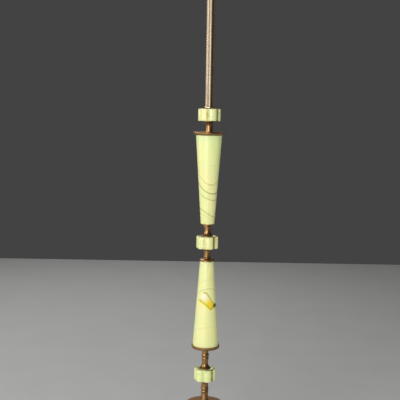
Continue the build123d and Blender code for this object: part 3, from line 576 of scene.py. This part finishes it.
def rosette(name, turn, material):
    """A six-lobed onyx roller with softly rounded rims."""
    low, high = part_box(name)
    count = ROSETTE_LOBES * LOBE_STEPS
    rims = [(EDGE_ROUND * (1 - sin(a)), EDGE_ROUND * (1 - cos(a)))
            for a in (pi / 2 * i / EDGE_STEPS for i in range(EDGE_STEPS + 1))]
    loops = [circle(ROSETTE_BORE, low.z, count)]
    loops += [lobed_loop(turn, inset, low.z + rise) for inset, rise in rims]
    loops += [lobed_loop(turn, inset, high.z - rise) for inset, rise in reversed(rims)]
    loops += [circle(ROSETTE_BORE, high.z, count)]
    piece(loop_mesh(name + "_stone", [(loops, True)]), material, "lamp", name)


# ---------------------------------------------------------------- threads of the lamp holder
HOLDER_RADIUS = 0.0196
SLEEVE_BORE = 0.0186
SEAT_RADIUS = 0.0225
SEAT_HEIGHT = 0.003
GROOVE_BOTTOM = 0.010
GROOVE_TOP = 0.0112
SLEEVE_GROOVE = 0.0192
SLEEVE_PITCH = 0.0025
SLEEVE_THREAD = 0.0005
CAP_PITCH = 0.0036
CAP_BORE = 0.0134
CAP_WALL = 0.0005
CAP_THREAD = 0.0005
CAP_WELL = 0.0026
STRIP_WIDTH = 0.006
STRIP_THICKNESS = 0.0006
STRIP_START = 0.0070
TERMINAL_PLACE = 0.0100
TERMINAL_HOLE = 0.0015
TURN_STEPS = 96
PITCH_STEPS = 12
HOLE_STEPS = 32
NO_SLOPE = 1e-6


def thread_loops(root, depth, pitch, low, high):
    """Loops up a round wall whose rounded thread fades out over half a pitch at both ends."""
    steps = round(PITCH_STEPS * (high - low) / pitch)
    loops = []
    for step in range(steps + 1):
        z = low + (high - low) * step / steps
        fade = min(1.0, 2 * (z - low) / pitch, 2 * (high - z) / pitch)
        loop = []
        for i in range(TURN_STEPS):
            angle = tau * i / TURN_STEPS
            wave = (1 + cos(tau * (z / pitch - i / TURN_STEPS))) / 2
            radius = root + depth * (1 - fade * (1 - wave))
            loop.append((radius * cos(angle), radius * sin(angle), z))
        loops.append(loop)
    return loops


def threaded_sleeve(material):
    """The holder's outer sleeve, with the shade ring's thread above its groove."""
    low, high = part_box("holder_sleeve")
    profile = [(SLEEVE_BORE, 0.0), (SEAT_RADIUS, 0.0), (SEAT_RADIUS, SEAT_HEIGHT),
               (HOLDER_RADIUS, SEAT_HEIGHT), (HOLDER_RADIUS, GROOVE_BOTTOM),
               (SLEEVE_GROOVE, GROOVE_BOTTOM), (SLEEVE_GROOVE, GROOVE_TOP)]
    loops = [circle(radius, low.z + z, TURN_STEPS) for radius, z in profile]
    loops += thread_loops(HOLDER_RADIUS - SLEEVE_THREAD, SLEEVE_THREAD, SLEEVE_PITCH,
                          low.z + GROOVE_TOP, high.z)
    loops += [circle(SLEEVE_BORE, high.z, TURN_STEPS)]
    mesh = loop_mesh("holder_sleeve_threaded", [(loops, True)], sharp=True)
    piece(mesh, material, "lamp", "holder_sleeve")


def strip_loops(bottom):
    """The foot strip round the terminal screw's hole, as loops that close on themselves."""
    half = STRIP_WIDTH / 2
    outwards = CAP_BORE + CAP_WALL - TERMINAL_PLACE
    inwards = TERMINAL_PLACE - STRIP_START
    edge = []
    hole = []
    for i in range(HOLE_STEPS):
        along, across = cos(tau * i / HOLE_STEPS), sin(tau * i / HOLE_STEPS)
        room = [half / abs(along)] if abs(along) > NO_SLOPE else []
        if abs(across) > NO_SLOPE:
            room.append((outwards if across > 0 else inwards) / abs(across))
        edge.append((min(room) * along, TERMINAL_PLACE + min(room) * across))
        hole.append((TERMINAL_HOLE * along, TERMINAL_PLACE + TERMINAL_HOLE * across))
    top = bottom + STRIP_THICKNESS
    return [[(*point, z) for point in outline] for outline, z in
            ((hole, bottom), (edge, bottom), (edge, top), (hole, top))]


def threaded_cap_shell(material):
    """The rolled shell that the lamp cap screws into, with the leg and strip to its terminal."""
    low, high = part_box("thread_shell")
    mouth = low.z + CAP_WELL
    inner = thread_loops(CAP_BORE - CAP_THREAD, CAP_THREAD, CAP_PITCH, mouth, high.z)
    wider = 1 + CAP_WALL / CAP_BORE
    outer = [[(x * wider, y * wider, z) for x, y, z in loop] for loop in inner]
    half = STRIP_WIDTH / 2
    near, far = CAP_BORE, CAP_BORE + CAP_WALL
    leg = [[(-half, near, z), (half, near, z), (half, far, z), (-half, far, z)]
           for z in (low.z + STRIP_THICKNESS, mouth)]
    shapes = [(outer + inner[::-1], True), (leg, False), (strip_loops(low.z), True)]
    piece(loop_mesh("thread_shell_rolled", shapes), material, "lamp", "thread_shell")


# ---------------------------------------------------------------- make the materials and pieces
aged_brass = brass("aged_brass_patina", fresh=(0.42, 0.235, 0.098), tarnished=(0.13, 0.064, 0.018),
                   seed=5.0, tarnish=0.60, dull=(0.30, 0.48))
pale_brass = brass("pale_brass_lacquer", fresh=(0.74, 0.57, 0.33), tarnished=(0.42, 0.27, 0.12),
                   seed=9.0, tarnish=0.45)

slot_materials = {
    "aged_brass": aged_brass,
    "pale_brass": pale_brass,
    "zinc_steel": steel("dull_zinc"),
    "weight_iron": plain("cast_iron", (0.018, 0.018, 0.019), (0.07, 0.066, 0.06),
                         scale=160.0, rough=(0.6, 0.85), relief=0.0006),
    "felt": felt("green_felt"),
    "rubber": plain("black_rubber", (0.010, 0.010, 0.011), (0.03, 0.03, 0.03),
                    scale=300.0, rough=(0.5, 0.75), relief=0.00008),
    "porcelain": plain("bare_porcelain", (0.74, 0.72, 0.66), (0.86, 0.85, 0.81),
                       scale=45.0, rough=(0.45, 0.6), relief=0.00008),
    "liner_card": plain("brown_card", (0.20, 0.12, 0.055), (0.38, 0.25, 0.13),
                        scale=240.0, rough=(0.75, 0.95), relief=0.0001),
    "fibre": plain("red_fibre", (0.10, 0.025, 0.015), (0.20, 0.05, 0.03),
                   scale=240.0, rough=(0.5, 0.7), relief=0.00006),
    "knob": plain("brown_bakelite", (0.018, 0.007, 0.004), (0.06, 0.022, 0.010),
                  scale=70.0, rough=(0.12, 0.28), relief=0.00003, Coat_Weight=0.4),
}
own_materials = {
    "reeded_tube": drawn_brass("drawn_tube_brass", seed=4.0),
    "threaded_rod": steel("zinc_thread", thread_pitch=ROD_PITCH),
    "upper_cone": onyx("onyx_upper_cone", 2.0, UPPER_CONE_VEINS, upper_cone_marks),
    "lower_cone": onyx("onyx_lower_cone", 6.5, LOWER_CONE_VEINS, lower_cone_marks),
    "base_drum": onyx("onyx_drum", 11.0, DRUM_VEINS),
    "base_slab": onyx("onyx_slab", 15.0, SLAB_VEINS),
}

# Each rosette: its node, how far it is turned in degrees, and its marks and painted shade.
ROSETTES = [
    ("upper_rosette", -7.0, upper_rosette_marks),
    ("middle_rosette", -17.0, groove_dirt_and_shade),
    ("lower_rosette", -11.5, groove_dirt_and_shade),
]
ROSETTE_SEED = 20.0
for name, turn, marks in ROSETTES:
    low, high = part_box(name)
    veins = rosette_veins((low.z + high.z) / 2)
    stone = onyx("onyx_" + name, ROSETTE_SEED + turn, veins, marks)
    own_materials[name] = stone
    rosette(name, radians(turn), stone)

threaded_sleeve(pale_brass)
threaded_cap_shell(pale_brass)

for name, node in nodes.items():
    material = own_materials.get(name) or slot_materials[slot_of[name]]
    for material_slot in node.material_slots:
        material_slot.material = material


# ---------------------------------------------------------------- floor, light and camera
FLOOR_SIZE = 6.0
FLOOR_DARK = (0.60, 0.60, 0.59)
FLOOR_LIGHT = (0.64, 0.64, 0.63)
WORLD_GREY = 0.8
WORLD_STRENGTH = 0.07
CAMERA_DISTANCE = 1.833
CAMERA_HEIGHT = 0.8925
CAMERA_ASIDE = -0.0183
CAMERA_PITCH = radians(6.065)
CAMERA_ROLL = radians(0.95)
CAMERA_LENS = 72.0
CAMERA_CLIP = 0.01
SENSOR_WIDTH = 36.0

# Each soft box: name, place, target, width, height, watts, and whether metal reflects it.
LIGHTS = [
    ("key", (-1.15, -2.6, 1.3), (0.0, 0.0, 0.7), 1.3, 1.8, 58.0, True),
    ("left", (-2.6, -0.4, 1.3), (0.0, 0.0, 0.7), 2.0, 1.8, 28.0, True),
    ("fill", (2.2, -1.6, 1.4), (0.0, 0.0, 0.7), 1.6, 2.2, 26.0, False),
    ("back", (-0.8, 2.4, 2.6), (0.0, 0.0, 0.6), 1.4, 1.4, 26.0, True),
]


def floor():
    mesh = bpy.data.meshes.new("floor")
    half = FLOOR_SIZE / 2
    corners = [(-half, -half, 0), (half, -half, 0), (half, half, 0), (-half, half, 0)]
    mesh.from_pydata(corners, [], [(0, 1, 2, 3)])
    made = bpy.data.objects.new("floor", mesh)
    bpy.context.scene.collection.objects.link(made)
    mesh.materials.append(plain("pale_floor", FLOOR_DARK, FLOOR_LIGHT,
                                scale=6.0, rough=(0.7, 0.8), relief=0.0001))


def area_light(name, place, target, width, height, power, in_metal):
    """A soft box that faces target."""
    data = bpy.data.lights.new(name, "AREA")
    data.shape = "RECTANGLE"
    data.size = width
    data.size_y = height
    data.energy = power
    made = bpy.data.objects.new(name, data)
    made.location = place
    made.rotation_euler = (Vector(target) - Vector(place)).to_track_quat("-Z", "Y").to_euler()
    made.visible_glossy = in_metal
    bpy.context.scene.collection.objects.link(made)


def world_light():
    world = bpy.data.worlds.new("studio")
    world.use_nodes = True
    background = world.node_tree.nodes["Background"]
    background.inputs["Color"].default_value = (WORLD_GREY, WORLD_GREY, WORLD_GREY, 1.0)
    background.inputs["Strength"].default_value = WORLD_STRENGTH
    bpy.context.scene.world = world


def camera():
    data = bpy.data.cameras.new("camera")
    data.lens = CAMERA_LENS
    data.sensor_width = SENSOR_WIDTH
    data.clip_start = CAMERA_CLIP
    made = bpy.data.objects.new("camera", data)
    bpy.context.scene.collection.objects.link(made)
    made.matrix_world = (Matrix.Translation((CAMERA_ASIDE, -CAMERA_DISTANCE, CAMERA_HEIGHT))
                         @ Matrix.Rotation(pi / 2 - CAMERA_PITCH, 4, "X")
                         @ Matrix.Rotation(CAMERA_ROLL, 4, "Z"))
    bpy.context.scene.camera = made


floor()
world_light()
for light in LIGHTS:
    area_light(*light)
camera()
bpy.context.scene.view_settings.view_transform = "Standard"
